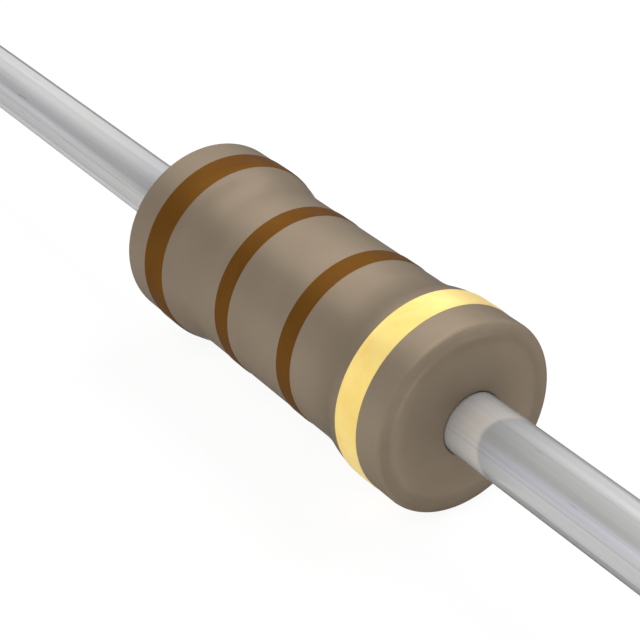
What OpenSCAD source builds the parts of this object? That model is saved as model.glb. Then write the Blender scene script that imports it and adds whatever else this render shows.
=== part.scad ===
// Axial film resistor with two straight wire leads, in millimetres.
// It lies along X with its middle at the origin, and the tolerance band is at the +X end.
// The bands read brown, brown, brown, gold: 110 ohm, five per cent.

/* [Core] */
// Diameter of the ceramic rod
core_d = 1.7; // [1.5:0.05:2.2]
// Length of the ceramic rod
core_l = 4.98; // [4.4:0.02:7]
// Gap between the rod's chamfered edge and the corner inside the cap
core_edge_gap = 0.04; // [0.02:0.01:0.12]

/* [Resistive film] */
// Thickness of the carbon film
film_t = 0.02; // [0.01:0.005:0.05]
// Width of the helical trim groove, measured along the rod
groove_w = 0.15; // [0.08:0.01:0.3]
// Advance of the trim groove in one turn
groove_pitch = 0.5; // [0.4:0.05:0.9]
// Depth of the trim groove in the ceramic, under the film
groove_depth = 0.03; // [0.01:0.01:0.1]
// Film left whole between each cap and the groove
groove_margin = 0.3; // [0.1:0.05:0.6]

/* [End caps] */
// Wall of the pressed steel cap
cap_wall = 0.16; // [0.1:0.01:0.25]
// Length of the cap along the axis
cap_l = 1.15; // [0.8:0.05:1.5]
// Corner radius inside the cap
cap_inner_corner = 0.04; // [0.02:0.01:0.12]

/* [Leads] */
// Diameter of the tinned wire
lead_d = 0.8; // [0.5:0.05:1]
// Length of each wire outside the body
lead_l = 28; // [10:1:38]
// Radius of the weld fillet where the wire meets the cap
weld_fillet = 0.15; // [0.06:0.01:0.18]
// Angle at which the foot of the weld stands on the cap
weld_foot = 25; // [15:5:40]
// Chamfer round the cut end of the wire
lead_chamfer = 0.06; // [0.02:0.01:0.15]

/* [Coating] */
// Thickness of the coating over the side of the caps
coat_t = 0.22; // [0.16:0.01:0.5]
// Thickness of the coating on the axis, past the end of the caps
end_t = 0.27; // [0.25:0.01:0.6]
// Depth of the waist below the two bulges
waist_depth = 0.105; // [0.03:0.005:0.15]
// Length of each bulge, from its full diameter to the end of the body
bulge_l = 0.87; // [0.5:0.01:1.1]
// Radius of the hollow side of the shoulder, next to the waist
shoulder_hollow_r = 1.62; // [0.5:0.01:2]
// Radius of the round side of the shoulder, next to the bulge
shoulder_round_r = 1.165; // [0.4:0.005:1.5]
// Rise of the domed end face
dome_rise = 0.16; // [0.05:0.01:0.25]
// Radius of the rim between the bulge and the domed end
rim_r = 0.07; // [0.03:0.01:0.2]

/* [Colour bands] */
// Thickness of the paint
band_t = 0.02; // [0.01:0.005:0.05]
// Width of the bands on the bulges
bulge_band_w = 0.425; // [0.2:0.005:0.6]
// Width of the bands on the waist
waist_band_w = 0.3; // [0.15:0.005:0.5]
// Middle of the first band, from the end of the body
first_band_in = 0.805; // [0.6:0.005:1]
// Middle of the second band, left of the body's middle
second_band_out = 0.635; // [0.4:0.005:0.8]
// Middle of the multiplier band, right of the body's middle
multiplier_band_out = 0.735; // [0.4:0.005:0.9]
// Middle of the tolerance band, from the end of the body
tolerance_band_in = 0.767; // [0.6:0.001:1]

/* [Hidden] */
$fn = 96;
// Steps in each arc of an outline
arc_steps = 10;
// Slices in each turn of the groove, and edges across it
groove_slices = 30;
groove_edges = 6;
// How far a cutter reaches past what it cuts
over = 0.05;

CERAMIC = [0.93, 0.91, 0.86];
CARBON = [0.16, 0.16, 0.17];
STEEL = [0.72, 0.73, 0.74];
TINNED_WIRE = [0.78, 0.77, 0.78];
TAUPE = [0.66, 0.59, 0.5];
BROWN = [0.46, 0.3, 0.12];
GOLD = [0.93, 0.8, 0.45];

core_r = core_d / 2;
core_half = core_l / 2;
core_chamfer = cap_inner_corner + core_edge_gap;
film_r = core_r + film_t;
film_half = core_half - core_chamfer;

cap_r = film_r + cap_wall;
cap_face = core_half + cap_wall;
cap_mouth = cap_face - cap_l;
cap_outer_corner = cap_inner_corner + cap_wall;

groove_span = 2 * (cap_mouth - groove_margin);
groove_turns = groove_span / groove_pitch;
groove_angle = 360 * groove_w / groove_pitch;
groove_floor_r = core_r - groove_depth;

bulge_r = cap_r + coat_t;
body_half = cap_face + end_t;
waist_r = bulge_r - waist_depth;
bulge_start = body_half - bulge_l;
// The two shoulder arcs meet in one tangent, so their centres are this far apart along the axis
shoulder_sum = shoulder_hollow_r + shoulder_round_r;
shoulder_run = sqrt(shoulder_sum ^ 2 - (shoulder_sum - waist_depth) ^ 2);
shoulder_angle = asin(shoulder_run / shoulder_sum);
waist_end = bulge_start - shoulder_run;
// The dome is part of a sphere, and the rim rolls between it and the bulge
dome_r = (bulge_r ^ 2 + dome_rise ^ 2) / (2 * dome_rise);
dome_centre = body_half - dome_r;
rim_centre_r = bulge_r - rim_r;
rim_angle = 90 - asin(rim_centre_r / (dome_r - rim_r));
rim_centre = dome_centre + (dome_r - rim_r) * sin(rim_angle);

lead_r = lead_d / 2;
lead_end = body_half + lead_l;
// The weld's hollow arc stops short of a quarter turn, where its foot meets the cap
weld_top = cap_face + weld_fillet * cos(weld_foot);

// Outlines are pairs of radius and place along the axis, and angles turn from the radius to the axis

// Points of an arc round [radius, place]
function arc(centre, r, from, to, steps = arc_steps) = [
    for (i = [0:steps]) centre + r * [
        cos(from + (to - from) * i / steps),
        sin(from + (to - from) * i / steps)
    ]
];

// Right half of the body's outline, from waist to dome, moved outwards by grow
function half_outline(grow) = concat(
    arc([waist_r + shoulder_hollow_r, waist_end], shoulder_hollow_r - grow, 180, 180 - shoulder_angle),
    arc([bulge_r - shoulder_round_r, bulge_start], shoulder_round_r + grow, -shoulder_angle, 0),
    arc([rim_centre_r, rim_centre], rim_r + grow, 0, rim_angle),
    arc([0, dome_centre], dome_r + grow, rim_angle, 90)
);

// Points of a half outline mirrored to the left end, in the order that closes the loop
function to_left(points) = [for (i = [len(points) - 1:-1:0]) [points[i][0], -points[i][1]]];

// Turns an outline round the X axis
module turned() {
    rotate([0, 90, 0]) rotate_extrude() children();
}

// Draws a right-hand piece at the left end instead
module at_left() {
    mirror([1, 0, 0]) children();
}

// The whole body as one solid outline
module body_outline(grow = 0) {
    right = half_outline(grow);
    polygon(concat(right, to_left(right)));
}

// A stretch along the axis, out to a radius
module reach(r, from, to) {
    translate([0, from]) square([r, to - from]);
}

// The outside of the right cap, closed, with its drawn corner
module cap_outline() {
    corner = [cap_r - cap_outer_corner, cap_face - cap_outer_corner];
    polygon(concat([[0, cap_mouth], [cap_r, cap_mouth]], arc(corner, cap_outer_corner, 0, 90), [[0, cap_face]]));
}

// The space inside the right cap, which the filmed rod fills
module cap_hollow() {
    corner = [film_r - cap_inner_corner, core_half - cap_inner_corner];
    points = arc(corner, cap_inner_corner, 0, 90);
    polygon(concat([[0, cap_mouth - over], [film_r, cap_mouth - over]], points, [[0, core_half]]));
}

// The right wire with its weld, from the cap to the cut end
module lead_outline() {
    polygon(concat(
        [[0, cap_face]],
        arc([lead_r + weld_fillet, weld_top], weld_fillet, 270 - weld_foot, 180),
        [[lead_r, lead_end - lead_chamfer], [lead_r - lead_chamfer, lead_end], [0, lead_end]]
    ));
}

// The helical groove that trims the film to its value and bites into the rod
module trim_groove() {
    wedge = concat(
        arc([0, 0], film_r + 2 * over, 0, groove_angle, groove_edges),
        arc([0, 0], groove_floor_r - over, groove_angle, 0, groove_edges)
    );
    rotate([0, 90, 0]) difference() {
        linear_extrude(
            height = groove_span,
            center = true,
            twist = -360 * groove_turns,
            slices = ceil(groove_slices * groove_turns),
            segments = groove_edges
        ) polygon(wedge);
        cylinder(r = groove_floor_r, h = groove_span + 2 * over, center = true);
    }
}

// Paint on the body's surface, centred at a place along the axis
module band(middle, width) {
    turned() intersection() {
        difference() {
            body_outline(band_t);
            body_outline();
        }
        reach(bulge_r + 2 * band_t, middle - width / 2, middle + width / 2);
    }
}

module ceramic_core() {
    color(CERAMIC) difference() {
        turned() polygon([
            [0, -core_half], [core_r - core_chamfer, -core_half], [core_r, -film_half],
            [core_r, film_half], [core_r - core_chamfer, core_half], [0, core_half]
        ]);
        trim_groove();
    }
}

module carbon_film() {
    color(CARBON) difference() {
        turned() difference() {
            reach(film_r, -film_half, film_half);
            reach(core_r, -core_half, core_half);
        }
        trim_groove();
    }
}

module end_cap_right() {
    color(STEEL) turned() difference() {
        cap_outline();
        cap_hollow();
    }
}

module end_cap_left() {
    at_left() end_cap_right();
}

module lead_right() {
    color(TINNED_WIRE) turned() lead_outline();
}

module lead_left() {
    at_left() lead_right();
}

module coating() {
    color(TAUPE) turned() difference() {
        body_outline();
        reach(film_r, -cap_mouth - over, cap_mouth + over);
        cap_outline();
        lead_outline();
        mirror([0, 1, 0]) cap_outline();
        mirror([0, 1, 0]) lead_outline();
    }
}

module band_first() {
    color(BROWN) band(first_band_in - body_half, bulge_band_w);
}

module band_second() {
    color(BROWN) band(-second_band_out, waist_band_w);
}

module band_multiplier() {
    color(BROWN) band(multiplier_band_out, waist_band_w);
}

module band_tolerance() {
    color(GOLD) band(body_half - tolerance_band_in, bulge_band_w);
}

ceramic_core();
carbon_film();
end_cap_left();
end_cap_right();
lead_left();
lead_right();
coating();
band_first();
band_second();
band_multiplier();
band_tolerance();
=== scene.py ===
"""Looks of an axial resistor: turned pieces, procedural materials, studio light and camera.

Sizes are in millimetres until a mesh is made. The part lies along X, with the tolerance band at +X.
"""
import math

import bmesh
import bpy
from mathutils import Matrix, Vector


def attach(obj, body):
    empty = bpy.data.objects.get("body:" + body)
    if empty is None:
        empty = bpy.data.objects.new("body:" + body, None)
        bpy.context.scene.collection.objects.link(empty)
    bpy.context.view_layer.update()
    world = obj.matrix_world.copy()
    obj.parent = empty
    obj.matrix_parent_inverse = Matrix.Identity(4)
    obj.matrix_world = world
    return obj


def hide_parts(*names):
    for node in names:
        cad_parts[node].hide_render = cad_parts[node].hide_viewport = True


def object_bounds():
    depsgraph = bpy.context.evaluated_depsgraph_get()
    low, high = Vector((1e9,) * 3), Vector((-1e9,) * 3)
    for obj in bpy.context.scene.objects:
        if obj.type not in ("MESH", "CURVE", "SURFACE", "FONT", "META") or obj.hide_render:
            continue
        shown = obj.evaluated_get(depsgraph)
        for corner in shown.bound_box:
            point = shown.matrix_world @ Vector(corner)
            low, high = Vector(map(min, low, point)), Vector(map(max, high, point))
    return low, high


MM = 0.001

# Body: half its length, its largest and smallest radius, and where the bulges start
BODY_HALF = 2.92
BULGE_R = 1.25
WAIST_R = 1.145
BULGE_START = 2.05

# Shoulders: radii of the hollow and of the round side
HOLLOW_R = 1.62
ROUND_R = 1.165

# Ends: rise of the dome, radius of the rim, and rounding of the wire's hole
DOME_RISE = 0.16
RIM_R = 0.07
WIRE_HOLE_ROUND = 0.03

# Soft shading of the rim: half the stretch of outline that it averages, and how far before the rim it starts
RIM_SOFT = 0.18
RIM_RUN_IN = 0.2

# Rod, film and caps
FILM_R = 0.87
CORE_HALF = 2.49
CAP_R = 1.03
CAP_FACE = 2.65
CAP_MOUTH = 1.5
CAP_INNER_CORNER = 0.04
CAP_OUTER_CORNER = 0.2
CAP_LIP = 0.03

# Leads, with the weld's fillet and the angle at which it stands on the cap
LEAD_R = 0.4
LEAD_END = 30.92
LEAD_CHAMFER = 0.06
WELD_FILLET = 0.15
WELD_FOOT = 25

# Bands: node, material slot, first and last place along X
BANDS = [
    ("band_first", "brown_paint", -2.3155, -1.8985),
    ("band_second", "brown_paint", -0.775, -0.482),
    ("band_multiplier", "brown_paint", 0.599, 0.889),
    ("band_tolerance", "gold_paint", 1.9595, 2.3695),
]

# Paint: thickness, width of its thinned edges, and the share of the thickness that is left at the very edge
BAND_T = 0.01
BAND_EDGE = 0.045
BAND_WALL = 0.1

# Steps of a full turn, and of each arc or stretch of an outline
BODY_SEGMENTS = 224
LEAD_SEGMENTS = 96
CARD_SEGMENTS = 96
SHOULDER_STEPS = 16
RUN_IN_STEPS = 8
RIM_STEPS = 12
DOME_STEPS = 30
HOLE_STEPS = 6
WELD_STEPS = 8
CORNER_STEPS = 6
CAP_EDGE_STEPS = 10
LIP_STEPS = 4
LEAD_STEPS = 40
BAND_STEPS = 28
AVERAGE_STEPS = 40

# An outline's point this near the axis lies on it, and an edge that turns by more than this is sharp
ON_AXIS = 1e-6
SHARP = math.radians(35)

# Camera: place, aim, focal length, width of its sensor, and the nearest and farthest that it sees
CAMERA_PLACE = (16.071, -11.272, 11.779)
CAMERA_AIM = (-0.019, -0.075, -0.047)
CAMERA_LENS = 103.51
SENSOR_WIDTH = 36
CAMERA_NEAR = 1
CAMERA_FAR = 10000

# Colours of the materials, in the order of their ramps
TAUPE = [(0.380, 0.301, 0.219), (0.422, 0.337, 0.2466)]
BROWN = (0.196, 0.083, 0.0145)
GOLD = [(0.90, 0.62, 0.16), (0.95, 0.71, 0.22), (0.97, 0.80, 0.29)]
TIN = [(0.855, 0.850, 0.825), (0.850, 0.850, 0.850), (0.845, 0.842, 0.875)]
STEEL = [(0.50, 0.51, 0.52), (0.60, 0.61, 0.62)]
CERAMIC = [(0.80, 0.77, 0.70), (0.90, 0.87, 0.80)]
CARBON = [(0.022, 0.022, 0.024), (0.04, 0.04, 0.044)]
WHITE = (1, 1, 1)
BLACK = (0, 0, 0)

# Lustre of the coating and the brown paint
BODY_LUSTRE = 0.3
BODY_SPECULAR = 0.02
BODY_EDGE_TINT = (0.26, 0.26, 0.26)
BODY_COAT_TINT = (0.93, 0.93, 0.93)

# Lustre of the wire
WIRE_LUSTRE = 0.6
WIRE_SPECULAR = 0.1
WIRE_EDGE_TINT = (0.45, 0.45, 0.47)
WIRE_COAT_TINT = (0.94, 0.94, 0.94)

# The clear coat of both hardly shines at so low an index, and its tint darkens the edges
THIN_COAT_IOR = 1.005

# How light the coating is by its distance from the middle: painted shade darkens it in the hollows and round
# the wires' holes, and painted light lightens it at the rims
COAT_PAINTED_SHADING = [
    (0, 0.9), (1.0, 0.893), (1.35, 0.845), (1.55, 0.81), (1.78, 0.78), (1.92, 0.80), (2.0, 0.893),
    (2.7, 0.893), (2.75, 0.965), (2.785, 0.985), (2.8, 0.865), (2.817, 0.87), (2.835, 0.88), (2.85, 0.86),
    (2.885, 0.80), (2.905, 0.75),
]

# Fine lines along the wire: turn from the top towards +Y, and tone
WIRE_LINES = [(-72.7, 0.82), (-64, 0.93)]
# Largest half width of such a line and how softly it ends, as angles in radians
LINE_REACH = 0.045
LINE_SOFT = 0.012

# Shade and glow of the floor, by the rays that meet it, and half its width
FLOOR_IN_VIEW = (0.12, 0.92)
FLOOR_IN_GLOSS = (0.12, 0.48)
FLOOR_IN_LIGHT = (0.80, 0.65)
FLOOR_HALF = 1000
WORLD_LIGHT = 0.15

# Lamps: place, aim, width, height and brightness
ROOM_LAMPS = {
    "top_back": ((0, 40, 45), (0, 0, 0), 45, 45, 4.55),
    "top_front": ((0, -40, 45), (0, 0, 0), 45, 45, 2.45),
}
# These show in the gloss of the coating and the brown bands alone
BODY_SHEENS = {
    "sheen_body": ((-42, 19, 82), (0, 19, 82), 86, 96, 1.98),
    "sheen_rim": ((-11, 13, 89), (0, 13, 0), 74, 36, 0.3),
}
# These show in the gloss of the gold band alone
GOLD_SHEENS = {
    "sheen_gold": ((-42, 13, 73), (0, 13, 73), 74, 113, 0.95),
    "low_gold": ((-42, -40, 8), (0, -40, 8), 80, 50, 0.5),
}
# This lights the gold band alone
GOLD_LAMPS = {
    "front_gold": ((0, -60, 6), (0, 0, 0), 45, 45, 4.2),
}

# Ring of grey cards: distance, edges of the cards by turn, and columns in each card
CARD_DISTANCE = 120
CARD_TURNS = range(-90, 91, 12)
CARD_COLUMNS = 6
# Zones of the ring: two slopes off -X, and tones as stops (turn, tone) from side to side over the top
CARD_ZONES = {
    "far": ((12, 38), [
        (-84, 0.52), (-60, 0.25), (-36, 0.31), (0, 0.61), (12, 0.66),
        (24, 0.64), (36, 0.83), (60, 0.92), (84, 1.14),
    ]),
    "mid": ((38, 51), [
        (-84, 0.02), (-36, 0.16), (-24, 0.11), (-12, 0.11),
        (12, 0.28), (48, 0.83), (72, 1.05), (84, 1.03),
    ]),
    "near": ((51, 82), [
        (-84, 0.47), (-72, 0.49), (-48, 0.29), (-36, 0.30), (-24, 0.36),
        (12, 0.40), (36, 0.71), (60, 0.64), (78, 0.77),
    ]),
    "rim": ((82, 125), [(-84, 1.07), (-48, 0.94), (0, 0.49), (24, 0.36), (48, 0.28), (84, 0.05)]),
    "front": ((125, 178), [(-84, 0.45), (24, 0.25), (84, 0.2)]),
}
# Zones that fade between two slopes, as (slope, share of the tone), and the cards with a tint
CARD_FADES = {"far": ((33, 1.42), (38, 0.96)), "near": ((55, 1.03), (62, 1.6))}
LAVENDER = (1, 0.985, 1.12)
CREAM = (1, 0.995, 0.93)
CARD_TINTS = {"near_0": LAVENDER, "near_1": LAVENDER, "near_2": LAVENDER, "near_3": CREAM}

# Strips on the floor under the wires, seen in gloss alone: the near one a painted shadow of the wire, the
# far one painted light; first and last place along X, and tone
STRIPS = {"strip_near": (2.3, 31, 0.23), "strip_far": (-31, -3.6, 1.12)}
STRIP_HALF_WIDTH = 0.8
STRIP_LIFT = 0.02

# What the near wire reflects of the body's end, by radius from inside out, and its height off the end
FACE_TONES = [(0, (0.15, 0.125, 0.10)), (1, (0.60, 0.51, 0.42))]
FACE_COVERS = [(0, 1), (1, 1)]
FACE_LIFT = 0.006
FACE_DOME_STEPS = 6
FACE_RIM_STEPS = 8

# The dark that surrounds it: radii, place along X, tones and covers
FLAG_RADII = (1.19, 3.2)
FLAG_PLACE = 2.8
FLAG_TONES = [(0, BLACK), (1, BLACK)]
FLAG_COVERS = [(0, 0.65), (0.25, 0.33), (0.5, 0.123), (0.75, 0.023), (1, 0)]

# Worked out from the sizes above
SHOULDER_SUM = HOLLOW_R + ROUND_R
SHOULDER_RUN = math.sqrt(SHOULDER_SUM ** 2 - (SHOULDER_SUM - BULGE_R + WAIST_R) ** 2)
SHOULDER_ANGLE = math.degrees(math.asin(SHOULDER_RUN / SHOULDER_SUM))
WAIST_END = BULGE_START - SHOULDER_RUN
DOME_R = (BULGE_R ** 2 + DOME_RISE ** 2) / (2 * DOME_RISE)
DOME_CENTRE = BODY_HALF - DOME_R
RIM_CENTRE_R = BULGE_R - RIM_R
RIM_ANGLE = 90 - math.degrees(math.asin(RIM_CENTRE_R / (DOME_R - RIM_R)))
RIM_CENTRE = DOME_CENTRE + (DOME_R - RIM_R) * math.sin(math.radians(RIM_ANGLE))
HOLE_ANGLE = 90 - math.degrees(math.asin((LEAD_R + WIRE_HOLE_ROUND) / DOME_R))
WELD_TOP = CAP_FACE + WELD_FILLET * math.cos(math.radians(WELD_FOOT))


# Outlines are lists of (radius, place along X), and angles turn from the radius to the axis

def arc(centre, radius, start, end, steps):
    """Points of an arc round (radius, place)."""
    points = []
    for i in range(steps + 1):
        angle = math.radians(start + (end - start) * i / steps)
        points.append((centre[0] + radius * math.cos(angle), centre[1] + radius * math.sin(angle)))
    return points


def mirrored(points):
    """The outline's other half, in the order that closes the loop."""
    return [(r, -x) for r, x in reversed(points)]


def shoulder_outline():
    """The right shoulder, from the waist to the bulge."""
    hollow = arc((WAIST_R + HOLLOW_R, WAIST_END), HOLLOW_R, 180, 180 - SHOULDER_ANGLE, SHOULDER_STEPS)
    round_side = arc((BULGE_R - ROUND_R, BULGE_START), ROUND_R, -SHOULDER_ANGLE, 0, SHOULDER_STEPS)
    return hollow + round_side[1:]


def rim_outline():
    """The right rim, from the bulge to the dome."""
    return arc((RIM_CENTRE_R, RIM_CENTRE), RIM_R, 0, RIM_ANGLE, RIM_STEPS)


def weld_outline():
    """The weld's hollow arc, from its foot on the cap to the wire."""
    return arc((LEAD_R + WELD_FILLET, WELD_TOP), WELD_FILLET, 270 - WELD_FOOT, 180, WELD_STEPS)


def cap_corner(radius, face, corner, steps=CORNER_STEPS):
    """A rounded corner of the cap, from its side to its face."""
    return arc((radius - corner, face - corner), corner, 0, 90, steps)


def radius_at(place):
    """Radius of the body's side at a place along X."""
    outline = [(WAIST_R, 0)] + shoulder_outline() + rim_outline()
    place = abs(place)
    for (r0, x0), (r1, x1) in zip(outline, outline[1:]):
        if x0 <= place <= x1:
            return r0 + (r1 - r0) * (place - x0) / (x1 - x0)
    raise ValueError(f"no side at {place}")


def side_normal(place, reach=0.01):
    """Normal of the body's side at a place along X."""
    slope = (radius_at(place + reach) - radius_at(place - reach)) / (2 * reach)
    size = math.hypot(1, slope)
    return 1 / size, -slope / size


def rim_tilt(length):
    """Tilt of the surface from the radius to the axis, at a length past the start of the rim."""
    rim_length = RIM_R * math.radians(RIM_ANGLE)
    if length < 0:
        return 0
    if length < rim_length:
        return RIM_ANGLE * length / rim_length
    return RIM_ANGLE + math.degrees((length - rim_length) / DOME_R)


def soft_tilt(length):
    """The tilt averaged over the stretch of outline before a point, with most weight on its middle."""
    total = shares = 0
    for i in range(-AVERAGE_STEPS, AVERAGE_STEPS + 1):
        share = 1 + math.cos(math.pi * i / AVERAGE_STEPS)
        total += share * rim_tilt(length - RIM_SOFT + RIM_SOFT * i / AVERAGE_STEPS)
        shares += share
    return total / shares


def end_outline():
    """The right end from the side over the rim to the wire's hole. Gives points and normals."""
    run_in = [(BULGE_R, RIM_CENTRE - RIM_RUN_IN * (1 - i / RUN_IN_STEPS)) for i in range(RUN_IN_STEPS)]
    dome = arc((0, DOME_CENTRE), DOME_R, RIM_ANGLE, HOLE_ANGLE, DOME_STEPS)
    points = run_in + rim_outline() + dome[1:]
    length = -RIM_RUN_IN
    normals = []
    for i, point in enumerate(points):
        if i:
            length += math.dist(points[i - 1], point)
        tilt = math.radians(soft_tilt(length))
        normals.append((math.cos(tilt), math.sin(tilt)))
    return points, normals


def coating_outline():
    """The coating's section: outside, the wires' holes, and what it covers. Gives points and normals."""
    side = shoulder_outline()
    end, end_normals = end_outline()
    hole_centre = (LEAD_R + WIRE_HOLE_ROUND, end[-1][1] - WIRE_HOLE_ROUND)
    hole = arc(hole_centre, WIRE_HOLE_ROUND, 90, 180, HOLE_STEPS)[1:]
    inside = list(reversed(weld_outline())) + list(reversed(cap_corner(CAP_R, CAP_FACE, CAP_OUTER_CORNER)))
    inside += [(CAP_R, CAP_MOUTH), (FILM_R, CAP_MOUTH)]
    right = side + end + hole + inside
    normals = [None] * len(side) + end_normals + [None] * (len(hole) + len(inside))
    left_normals = [normal and (normal[0], -normal[1]) for normal in reversed(normals)]
    return right + mirrored(right), normals + left_normals


def cap_outline():
    """Section of the right cap, from the inside of its face round its open lip."""
    lip = arc((CAP_R - CAP_LIP, CAP_MOUTH + CAP_LIP), CAP_LIP, -90, 0, LIP_STEPS)
    outside = lip + cap_corner(CAP_R, CAP_FACE, CAP_OUTER_CORNER, CAP_EDGE_STEPS)
    inside = list(reversed(cap_corner(FILM_R, CORE_HALF, CAP_INNER_CORNER)))
    return [(0, CORE_HALF)] + inside + [(FILM_R, CAP_MOUTH)] + outside + [(0, CAP_FACE)]


def lead_outline():
    """Section of the right lead, from its weld to the chamfered end."""
    chamfer_start = LEAD_END - LEAD_CHAMFER
    run = chamfer_start - WELD_TOP
    straight = [(LEAD_R, WELD_TOP + run * i / LEAD_STEPS) for i in range(1, LEAD_STEPS)]
    end = [(LEAD_R, chamfer_start), (LEAD_R - LEAD_CHAMFER, LEAD_END), (0, LEAD_END)]
    return [(0, CAP_FACE)] + weld_outline() + straight + end


def band_outline(first, last):
    """Section of a painted band, thinned out at both sides and shaded like the body under it."""
    outside = []
    for i in range(BAND_STEPS + 1):
        share = (1 - math.cos(math.pi * i / BAND_STEPS)) / 2
        place = first + (last - first) * share
        edge = min(place - first, last - place)
        rise = math.sin(math.pi / 2 * min(edge / BAND_EDGE, 1))
        height = BAND_T * (BAND_WALL + (1 - BAND_WALL) * rise)
        outside.append((radius_at(place) + height, place))
    inside = [(radius_at(place), place) for _, place in reversed(outside)]
    normals = [side_normal(place) for _, place in outside] + [None] * len(inside)
    return outside + inside, normals


# Meshes

def ring_at(bm, radius, place, segments):
    """One turn of an outline's point round the X axis, or the point itself if it lies there."""
    if radius < ON_AXIS:
        return [bm.verts.new((place * MM, 0, 0))]
    ring = []
    for i in range(segments):
        turn = 2 * math.pi * i / segments
        ring.append(bm.verts.new((place * MM, radius * MM * math.cos(turn), radius * MM * math.sin(turn))))
    return ring


def bridge(bm, a, b, segments):
    """Faces between two rings, either of which may be one point."""
    if len(a) == 1 and len(b) == 1:
        return
    for i in range(segments):
        j = (i + 1) % segments
        corners = [a[i % len(a)], a[j % len(a)], b[j % len(b)], b[i % len(b)]]
        bm.faces.new(list(dict.fromkeys(corners)))


def shade_smoothly(mesh, normals, rings, segments):
    """Gives the points of an outline their own normals, where they have one."""
    owners = []
    for k, ring in enumerate(rings):
        owners += [(k, i) for i in range(len(ring))]
    chosen = []
    for loop in mesh.loops:
        k, i = owners[loop.vertex_index]
        if normals[k] is None:
            chosen.append((0, 0, 0))
            continue
        turn = 2 * math.pi * i / segments
        out, along = normals[k]
        chosen.append((along, out * math.cos(turn), out * math.sin(turn)))
    mesh.normals_split_custom_set(chosen)


def turned(name, outline, segments, normals=None):
    """Turns a closed outline round the X axis into a mesh with sharp edges where it has corners."""
    mesh = bpy.data.meshes.new(name)
    bm = bmesh.new()
    rings = [ring_at(bm, radius, place, segments) for radius, place in outline]
    for a, b in zip(rings, rings[1:] + rings[:1]):
        bridge(bm, a, b, segments)
    bmesh.ops.recalc_face_normals(bm, faces=bm.faces)
    for face in bm.faces:
        face.smooth = True
    for edge in bm.edges:
        edge.smooth = edge.calc_face_angle(0) < SHARP
    bm.to_mesh(mesh)
    if normals:
        shade_smoothly(mesh, normals, rings, segments)
    bm.free()
    piece = bpy.data.objects.new(name, mesh)
    bpy.context.scene.collection.objects.link(piece)
    return piece


# Shader nodes

def grey(tone):
    """A colour of equal parts."""
    return tone, tone, tone


def opaque(colour):
    """The colour with full cover."""
    return (*colour, 1)


def new_tree(name):
    """A material with an empty node tree."""
    material = bpy.data.materials.new(name)
    material.use_nodes = True
    material.node_tree.nodes.clear()
    return material, material.node_tree


def add(tree, kind, inputs=None, **settings):
    """A node with its settings made, and its inputs set or linked."""
    node = tree.nodes.new(kind)
    for key, value in settings.items():
        setattr(node, key, value)
    for key, value in (inputs or {}).items():
        if isinstance(value, bpy.types.NodeSocket):
            tree.links.new(value, node.inputs[key])
        else:
            node.inputs[key].default_value = value
    return node


def maths(tree, operation, *values, **settings):
    """Result of a sum on numbers or sockets."""
    return add(tree, "ShaderNodeMath", dict(enumerate(values)), operation=operation, **settings).outputs[0]


def place_mm(tree, stretch=(1, 1, 1)):
    """Object coordinates in millimetres, stretched for a grain."""
    inputs = {
        "Vector": add(tree, "ShaderNodeTexCoord").outputs["Object"],
        "Scale": [value / MM for value in stretch],
    }
    return add(tree, "ShaderNodeMapping", inputs).outputs[0]


def split(tree, vector):
    """The X, Y and Z of a vector."""
    return add(tree, "ShaderNodeSeparateXYZ", {0: vector}).outputs


def noise(tree, vector, scale, detail, roughness, distortion=0.0):
    """Noise from 0 to 1, with so many cells to the millimetre."""
    inputs = {
        "Vector": vector, "Scale": scale, "Detail": detail, "Roughness": roughness, "Distortion": distortion
    }
    return add(tree, "ShaderNodeTexNoise", inputs).outputs["Fac"]


def ramp(tree, value, stops):
    """Colour ramp through (position, colour) stops."""
    node = add(tree, "ShaderNodeValToRGB", {"Fac": value})
    elements = node.color_ramp.elements
    while len(elements) < len(stops):
        elements.new(0.5)
    for element, (position, colour) in zip(elements, stops):
        element.position = position
        element.color = opaque(colour)
    return node.outputs["Color"]


def spread(tree, value, low, high, start=0.0, end=1.0):
    """Stretches a value from start..end to low..high."""
    inputs = {"Value": value, "From Min": start, "From Max": end, "To Min": low, "To Max": high}
    return add(tree, "ShaderNodeMapRange", inputs).outputs["Result"]


def multiplied(tree, first, second):
    """Product of two colours. The sockets 6, 7 and 2 are the Mix node's for colours."""
    inputs = {"Factor": 1.0, 6: first, 7: second}
    return add(tree, "ShaderNodeMix", inputs, data_type="RGBA", blend_type="MULTIPLY").outputs[2]


def bump(tree, height, depth, normal=None):
    """Bump from a height, with its depth in millimetres."""
    inputs = {"Height": height, "Strength": 1.0, "Distance": depth * MM}
    if normal is not None:
        inputs["Normal"] = normal
    return add(tree, "ShaderNodeBump", inputs).outputs["Normal"]


def finish_material(material, inputs):
    """Ends a material in one Principled shader."""
    tree = material.node_tree
    shader = add(tree, "ShaderNodeBsdfPrincipled", inputs)
    add(tree, "ShaderNodeOutputMaterial", {"Surface": shader.outputs["BSDF"]})
    return material


# Materials of the part

def body_lustre():
    """Shader settings that the coating and the brown paint share."""
    return {
        "Metallic": BODY_LUSTRE,
        "Specular IOR Level": BODY_SPECULAR,
        "Specular Tint": opaque(BODY_EDGE_TINT),
        "Coat Weight": 1.0,
        "Coat IOR": THIN_COAT_IOR,
        "Coat Tint": opaque(BODY_COAT_TINT),
    }


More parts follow.
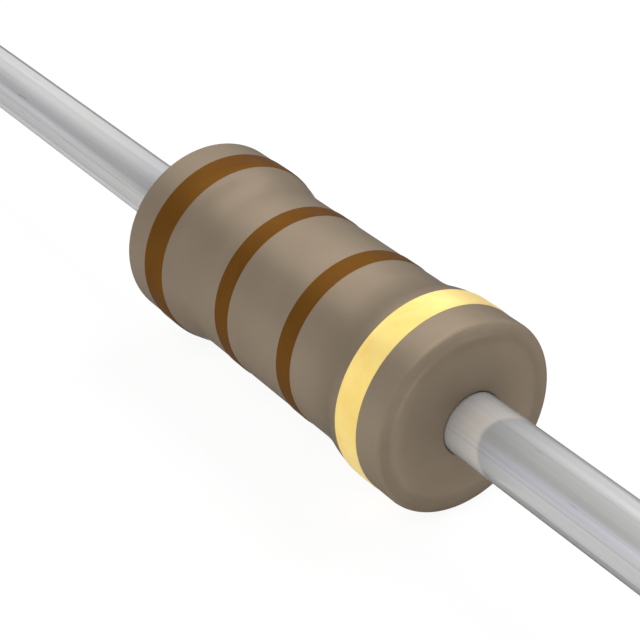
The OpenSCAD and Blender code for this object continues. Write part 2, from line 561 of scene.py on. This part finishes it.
def coating_material():
    """Taupe moulded coating: satin, with faint clouds, a fine orange peel, painted shade in its hollows and
    round the wires, and painted light at its rims.
    """
    material, tree = new_tree("taupe_coating")
    place = place_mm(tree)
    clouds = noise(tree, place, 1.1, detail=4, roughness=0.6)
    colour = ramp(tree, clouds, [(0.3, TAUPE[0]), (0.7, TAUPE[1])])
    away = maths(tree, "ABSOLUTE", split(tree, place)["X"])
    outward = spread(tree, away, 0.0, 1.0, end=BODY_HALF)
    # Painted shade in the hollows and round the wires' holes, and painted light at the rims, by distance
    # from the middle
    shade = ramp(tree, outward, [(x / BODY_HALF, grey(tone)) for x, tone in COAT_PAINTED_SHADING])
    peel = noise(tree, place, 9, detail=2, roughness=0.5)
    grain = noise(tree, place, 45, detail=2, roughness=0.6)
    return finish_material(material, {
        **body_lustre(),
        "Base Color": multiplied(tree, colour, shade),
        "Roughness": spread(tree, peel, 0.34, 0.42),
        "Normal": bump(tree, grain, 0.0004, bump(tree, peel, 0.0012)),
    })


def brown_material():
    """Satin brown paint of three bands, laid a little unevenly round the body."""
    material, tree = new_tree("brown_paint")
    place = place_mm(tree)
    clouds = noise(tree, place, 2.2, detail=4, roughness=0.6)
    thin, thick = [tuple(share * channel for channel in BROWN) for share in (0.93, 1.07)]
    ripple = noise(tree, place, 14, detail=2, roughness=0.5)
    return finish_material(material, {
        **body_lustre(),
        "Base Color": ramp(tree, clouds, [(0.3, thin), (0.7, thick)]),
        "Roughness": spread(tree, ripple, 0.33, 0.43),
        "Normal": bump(tree, ripple, 0.0008),
    })


def gold_material():
    """Metallic gold paint with an amber mottle."""
    material, tree = new_tree("gold_paint")
    place = place_mm(tree)
    clouds = noise(tree, place, 1.6, detail=5, roughness=0.62, distortion=0.4)
    flakes = noise(tree, place, 60, detail=2, roughness=0.6)
    return finish_material(material, {
        "Base Color": ramp(tree, clouds, list(zip((0.25, 0.5, 0.75), GOLD))),
        "Metallic": 0.5,
        "Roughness": spread(tree, clouds, 0.42, 0.30),
        "Specular IOR Level": 0.2,
        "Normal": bump(tree, flakes, 0.0006),
    })


def drawn_line(tree, turn, tone):
    """A fine, broken line left along the wire by the die, at a turn from the top towards +Y."""
    place = split(tree, place_mm(tree))
    angle = maths(tree, "ARCTAN2", place["Y"], place["Z"])
    aside = maths(tree, "ABSOLUTE", maths(tree, "SUBTRACT", angle, math.radians(turn)))
    gap = noise(tree, place_mm(tree, (0.8, 0.1, 0.1)), 1.0, detail=2, roughness=0.5)
    inside = maths(tree, "SUBTRACT", spread(tree, gap, 0.0, LINE_REACH), aside)
    mark = spread(tree, inside, 0.0, 1.0, end=LINE_SOFT)
    return ramp(tree, mark, [(0, WHITE), (1, grey(tone))])


def wire_material():
    """Tinned wire: bright, drawn lengthwise, with faint tints, fine streaks and a few scratches."""
    material, tree = new_tree("tinned_wire")
    drawn = noise(tree, place_mm(tree, (0.04, 1, 1)), 5, detail=3, roughness=0.6)
    fine = noise(tree, place_mm(tree, (0.02, 1, 1)), 26, detail=3, roughness=0.65)
    scored = noise(tree, place_mm(tree, (0.09, 1, 1)), 17, detail=1, roughness=0.5)
    colour = ramp(tree, drawn, list(zip((0.36, 0.5, 0.64), TIN)))
    streaks = ramp(tree, fine, [(0.3, grey(0.93)), (0.7, WHITE)])
    scratches = ramp(tree, scored, [(0.73, WHITE), (0.77, grey(0.80))])
    for mark in [streaks, scratches] + [drawn_line(tree, turn, tone) for turn, tone in WIRE_LINES]:
        colour = multiplied(tree, colour, mark)
    return finish_material(material, {
        "Base Color": colour,
        "Metallic": WIRE_LUSTRE,
        "Specular IOR Level": WIRE_SPECULAR,
        "Specular Tint": opaque(WIRE_EDGE_TINT),
        "Coat Weight": 1.0,
        "Coat IOR": THIN_COAT_IOR,
        "Coat Tint": opaque(WIRE_COAT_TINT),
        "Roughness": spread(tree, fine, 0.05, 0.13),
        "Normal": bump(tree, fine, 0.0003, bump(tree, drawn, 0.002)),
    })


def steel_material():
    """Drawn steel of the caps, tinned and slightly dull."""
    material, tree = new_tree("cap_steel")
    rings = noise(tree, place_mm(tree, (6, 1, 1)), 4, detail=3, roughness=0.6)
    return finish_material(material, {
        "Base Color": ramp(tree, rings, [(0.3, STEEL[0]), (0.7, STEEL[1])]),
        "Metallic": 1.0,
        "Roughness": spread(tree, rings, 0.25, 0.38),
        "Normal": bump(tree, rings, 0.001),
    })


def ceramic_material():
    """Fired white alumina of the rod, matte and fine grained."""
    material, tree = new_tree("ceramic")
    grain = noise(tree, place_mm(tree), 30, detail=3, roughness=0.6)
    return finish_material(material, {
        "Base Color": ramp(tree, grain, [(0.3, CERAMIC[0]), (0.7, CERAMIC[1])]),
        "Roughness": spread(tree, grain, 0.6, 0.75),
        "Normal": bump(tree, grain, 0.002),
    })


def carbon_material():
    """Carbon film on the rod, nearly black with a graphite sheen."""
    material, tree = new_tree("carbon")
    grain = noise(tree, place_mm(tree), 20, detail=4, roughness=0.6)
    return finish_material(material, {
        "Base Color": ramp(tree, grain, [(0.3, CARBON[0]), (0.7, CARBON[1])]),
        "Roughness": spread(tree, grain, 0.3, 0.45),
        "Normal": bump(tree, grain, 0.001),
    })


# Floor and world

def ray_is(tree, *kinds):
    """1 for rays of these kinds, of Camera, Glossy and Transmission, and 0 for others."""
    path = add(tree, "ShaderNodeLightPath")
    total = path.outputs[f"Is {kinds[0]} Ray"]
    for kind in kinds[1:]:
        total = maths(tree, "ADD", total, path.outputs[f"Is {kind} Ray"], use_clamp=True)
    return total


def white_with_shadow(tree, shade, glow):
    """White in the open and darker in shadow: the larger the shade's share, the darker."""
    shaded = add(tree, "ShaderNodeBsdfDiffuse", {"Color": opaque(grey(shade))})
    light = add(tree, "ShaderNodeEmission", {"Color": opaque(WHITE), "Strength": glow})
    return add(tree, "ShaderNodeAddShader", {0: shaded.outputs[0], 1: light.outputs[0]}).outputs[0]


def floor_material():
    """White to whoever looks at it, with the part's shadow, and plain pale to the light it returns."""
    material, tree = new_tree("floor")
    in_light = white_with_shadow(tree, *FLOOR_IN_LIGHT)
    in_gloss = white_with_shadow(tree, *FLOOR_IN_GLOSS)
    in_view = white_with_shadow(tree, *FLOOR_IN_VIEW)
    gloss = ray_is(tree, "Glossy", "Transmission")
    reflected = add(tree, "ShaderNodeMixShader", {0: gloss, 1: in_light, 2: in_gloss}).outputs[0]
    mixed = add(tree, "ShaderNodeMixShader", {0: ray_is(tree, "Camera"), 1: reflected, 2: in_view})
    add(tree, "ShaderNodeOutputMaterial", {"Surface": mixed.outputs[0]})
    material.cycles.emission_sampling = "NONE"
    return material


def make_floor(height):
    """A wide plane under the part."""
    side, level = FLOOR_HALF * MM, height * MM
    corners = [(-side, -side, level), (side, -side, level), (side, side, level), (-side, side, level)]
    mesh = bpy.data.meshes.new("floor")
    mesh.from_pydata(corners, [], [(0, 1, 2, 3)])
    mesh.materials.append(floor_material())
    floor = bpy.data.objects.new("floor", mesh)
    bpy.context.scene.collection.objects.link(floor)


def make_world():
    """White for the rays that see it, and an even soft light for the rest."""
    world = bpy.data.worlds.new("studio")
    bpy.context.scene.world = world
    world.use_nodes = True
    tree = world.node_tree
    tree.nodes.clear()
    strength = spread(tree, ray_is(tree, "Camera", "Glossy", "Transmission"), WORLD_LIGHT, 1.0)
    background = add(tree, "ShaderNodeBackground", {"Color": opaque(WHITE), "Strength": strength})
    add(tree, "ShaderNodeOutputWorld", {"Surface": background.outputs[0]})
    world.cycles.sampling_method = "NONE"


# Camera and lamps

def aimed(obj, place, aim):
    """Puts an object at a place in millimetres, looking at another."""
    start = Vector(place) * MM
    obj.location = start
    obj.rotation_euler = (Vector(aim) * MM - start).to_track_quat("-Z", "Y").to_euler()
    bpy.context.scene.collection.objects.link(obj)
    return obj


def make_camera():
    """The photograph's camera."""
    data = bpy.data.cameras.new("camera")
    data.lens = CAMERA_LENS
    data.sensor_width = SENSOR_WIDTH
    data.sensor_fit = "HORIZONTAL"
    data.clip_start = CAMERA_NEAR * MM
    data.clip_end = CAMERA_FAR * MM
    bpy.context.scene.camera = aimed(bpy.data.objects.new("camera", data), CAMERA_PLACE, CAMERA_AIM)


def softbox(name, place, aim, width, height, brightness, diffuse=True, only=()):
    """A rectangular lamp, as bright as white at 1. It lights surfaces, or shows in gloss alone."""
    light = bpy.data.lights.new(name, "AREA")
    light.shape = "RECTANGLE"
    light.size = width * MM
    light.size_y = height * MM
    light.energy = brightness * math.pi * light.size * light.size_y
    lamp = aimed(bpy.data.objects.new(name, light), place, aim)
    lamp.visible_camera = False
    lamp.visible_diffuse = diffuse
    lamp.visible_glossy = not diffuse
    if only:
        group = bpy.data.collections.new(name + "_receivers")
        for piece in only:
            group.objects.link(piece)
        lamp.light_linking.receiver_collection = group


def make_lamps(body_pieces, gold_pieces):
    """Lamps for the whole scene, for the gloss of some pieces, and for the gold band."""
    for name, lamp in ROOM_LAMPS.items():
        softbox(name, *lamp)
    for name, lamp in BODY_SHEENS.items():
        softbox(name, *lamp, diffuse=False, only=body_pieces)
    for name, lamp in GOLD_SHEENS.items():
        softbox(name, *lamp, diffuse=False, only=gold_pieces)
    for name, lamp in GOLD_LAMPS.items():
        softbox(name, *lamp, only=gold_pieces)


# Cards that show in gloss alone

def seen_in_gloss(name, points, faces, material):
    """Adds a card that shows in gloss alone, with its points in millimetres."""
    mesh = bpy.data.meshes.new(name)
    mesh.from_pydata([[value * MM for value in point] for point in points], [], faces)
    material.cycles.emission_sampling = "NONE"
    mesh.materials.append(material)
    card = bpy.data.objects.new(name, mesh)
    bpy.context.scene.collection.objects.link(card)
    card.visible_camera = False
    card.visible_diffuse = False
    card.visible_shadow = False
    card.visible_transmission = False


def make_card(name, points, faces, tone, fade=None):
    """A card of one tone, or one that fades between two slopes off the -X direction."""
    material, tree = new_tree(name)
    strength = 1.0
    if fade:
        (slope0, share0), (slope1, share1) = fade
        start, end = [-math.cos(math.radians(slope)) for slope in (slope0, slope1)]
        way = add(tree, "ShaderNodeVectorMath", {0: place_mm(tree)}, operation="NORMALIZE").outputs[0]
        strength = spread(tree, split(tree, way)["X"], share0, share1, start, end)
    glow = add(tree, "ShaderNodeEmission", {"Color": opaque(tone), "Strength": strength})
    add(tree, "ShaderNodeOutputMaterial", {"Surface": glow.outputs[0]})
    seen_in_gloss(name, points, faces, material)


def make_ring_card(name, tone, slopes, turns, fade=None):
    """Part of a ring round the -X direction, between two slopes off it and two turns about it."""
    points, faces = [], []
    for i in range(CARD_COLUMNS + 1):
        turn = math.radians(turns[0] + (turns[1] - turns[0]) * i / CARD_COLUMNS)
        for slope in (slopes[0], sum(slopes) / 2, slopes[1]):
            away = math.radians(slope)
            points.append((
                -CARD_DISTANCE * math.cos(away),
                CARD_DISTANCE * math.sin(away) * math.sin(turn),
                CARD_DISTANCE * math.sin(away) * math.cos(turn),
            ))
    for i in range(CARD_COLUMNS):
        for a in (3 * i, 3 * i + 1):
            faces.append((a, a + 1, a + 4, a + 3))
    make_card(name, points, faces, tone, fade)


def tone_at(stops, turn):
    """Tone at a turn, on straight lines between the stops."""
    for (turn0, tone0), (turn1, tone1) in zip(stops, stops[1:]):
        if turn <= turn1:
            return tone0 + (tone1 - tone0) * (turn - turn0) / (turn1 - turn0)
    return stops[-1][1]


def make_ring():
    """The ring of grey cards, zone by zone."""
    for zone, (slopes, stops) in CARD_ZONES.items():
        for i, turns in enumerate(zip(CARD_TURNS, CARD_TURNS[1:])):
            tone = tone_at(stops, sum(turns) / 2)
            tint = CARD_TINTS.get(f"{zone}_{i}", WHITE)
            tinted = [tone * value for value in tint]
            make_ring_card(f"card_{zone}_{i}", tinted, slopes, turns, CARD_FADES.get(zone))


def make_strips(floor_height):
    """Flat cards on the floor, under the wires, seen in gloss alone: a painted shadow under the near wire
    and painted light under the far one.
    """
    height = floor_height + STRIP_LIFT
    low, high = -STRIP_HALF_WIDTH, STRIP_HALF_WIDTH
    for name, (first, last, tone) in STRIPS.items():
        corners = [(first, low, height), (last, low, height), (last, high, height), (first, high, height)]
        # Painted shadow under the near wire and painted light under the far one, as the wires reflect the
        # floor
        make_card(name, corners, [(0, 1, 2, 3)], grey(tone))


def make_round_card(name, outline, tones, covers):
    """A card turned round the X axis and seen from +X alone, with its tones and cover from inside out."""
    rows = len(outline)
    points, faces = [], []
    for i in range(CARD_SEGMENTS):
        turn = 2 * math.pi * i / CARD_SEGMENTS
        points += [(place, radius * math.cos(turn), radius * math.sin(turn)) for radius, place in outline]
        here, there = i * rows, (i + 1) % CARD_SEGMENTS * rows
        faces += [(here + k, here + k + 1, there + k + 1, there + k) for k in range(rows - 1)]
    material, tree = new_tree(name)
    place = split(tree, place_mm(tree))
    across = add(tree, "ShaderNodeCombineXYZ", {"Y": place["Y"], "Z": place["Z"]}).outputs[0]
    radius = add(tree, "ShaderNodeVectorMath", {0: across}, operation="LENGTH").outputs["Value"]
    outward = spread(tree, radius, 0.0, 1.0, outline[0][0], outline[-1][0])
    cover = ramp(tree, outward, [(position, grey(share)) for position, share in covers])
    behind = add(tree, "ShaderNodeNewGeometry").outputs["Backfacing"]
    seen = maths(tree, "MULTIPLY", cover, maths(tree, "SUBTRACT", 1.0, behind))
    clear = add(tree, "ShaderNodeBsdfTransparent").outputs[0]
    glow = add(tree, "ShaderNodeEmission", {"Color": ramp(tree, outward, tones), "Strength": 1.0}).outputs[0]
    mixed = add(tree, "ShaderNodeMixShader", {0: seen, 1: clear, 2: glow}).outputs[0]
    add(tree, "ShaderNodeOutputMaterial", {"Surface": mixed})
    seen_in_gloss(name, points, faces, material)


def face_outline():
    """The near end of the body from the wire over the rim, lifted off it."""
    dome = arc((0, DOME_CENTRE), DOME_R + FACE_LIFT, HOLE_ANGLE, RIM_ANGLE, FACE_DOME_STEPS)
    rim = arc((RIM_CENTRE_R, RIM_CENTRE), RIM_R + FACE_LIFT, RIM_ANGLE, 0, FACE_RIM_STEPS)
    return dome + rim[1:]


def make_cards(floor_height):
    """All that the part reflects of the studio."""
    make_ring()
    make_strips(floor_height)
    make_round_card("face_glow", face_outline(), FACE_TONES, FACE_COVERS)
    flag = [(radius, FLAG_PLACE) for radius in FLAG_RADII]
    make_round_card("flag_near", flag, FLAG_TONES, FLAG_COVERS)


# Pieces of the part

def dress(piece, node, slot, materials):
    """Lets a piece stand for its CAD node."""
    piece.data.materials.append(materials[slot])
    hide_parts(node)
    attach(piece, "root")


def make_coating(materials):
    """The coating's shell."""
    outline, normals = coating_outline()
    shell = turned("coating_shell", outline, BODY_SEGMENTS, normals)
    dress(shell, "coating", "taupe_coating", materials)
    return shell


def make_bands(materials):
    """The painted bands, as lists of the brown ones and the gold one."""
    painted = {"brown_paint": [], "gold_paint": []}
    for node, slot, first, last in BANDS:
        outline, normals = band_outline(first, last)
        paint = turned(node + "_paint", outline, BODY_SEGMENTS, normals)
        dress(paint, node, slot, materials)
        painted[slot].append(paint)
    return painted["brown_paint"], painted["gold_paint"]


def make_ends(materials):
    """The wire and the cap of each end."""
    for side, sign in (("left", -1), ("right", 1)):
        wire = [(r, sign * x) for r, x in lead_outline()]
        dress(turned("wire_" + side, wire, LEAD_SEGMENTS), "lead_" + side, "tinned_wire", materials)
        cap = [(r, sign * x) for r, x in cap_outline()]
        dress(turned("cap_" + side, cap, LEAD_SEGMENTS), "end_cap_" + side, "cap_steel", materials)


def finish_core(nodes, materials):
    """Materials of the rod and the film, which stay as the frame has them."""
    for node, slot in (("ceramic_core", "ceramic"), ("carbon_film", "carbon")):
        kept = nodes[node]
        kept.data.materials.clear()
        kept.data.materials.append(materials[slot])


def corners_of(bounds):
    """A box as plain lists of numbers."""
    return [[float(value) for value in corner] for corner in bounds]


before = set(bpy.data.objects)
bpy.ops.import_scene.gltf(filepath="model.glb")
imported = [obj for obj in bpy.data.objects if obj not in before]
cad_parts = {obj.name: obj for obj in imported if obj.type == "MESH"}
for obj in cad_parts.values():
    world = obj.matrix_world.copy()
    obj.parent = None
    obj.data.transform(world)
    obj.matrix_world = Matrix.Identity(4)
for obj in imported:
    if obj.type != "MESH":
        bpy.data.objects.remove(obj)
cad_box = corners_of(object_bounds())
floor_height = cad_box[0][2] / MM

slot_materials = {
    "taupe_coating": coating_material(),
    "brown_paint": brown_material(),
    "gold_paint": gold_material(),
    "tinned_wire": wire_material(),
    "cap_steel": steel_material(),
    "ceramic": ceramic_material(),
    "carbon": carbon_material(),
}
coating_shell = make_coating(slot_materials)
brown_bands, gold_bands = make_bands(slot_materials)
make_ends(slot_materials)
finish_core(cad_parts, slot_materials)

bpy.context.scene.view_settings.view_transform = "Standard"
make_floor(floor_height)
make_world()
make_camera()
make_cards(floor_height)
make_lamps([coating_shell] + brown_bands, gold_bands)
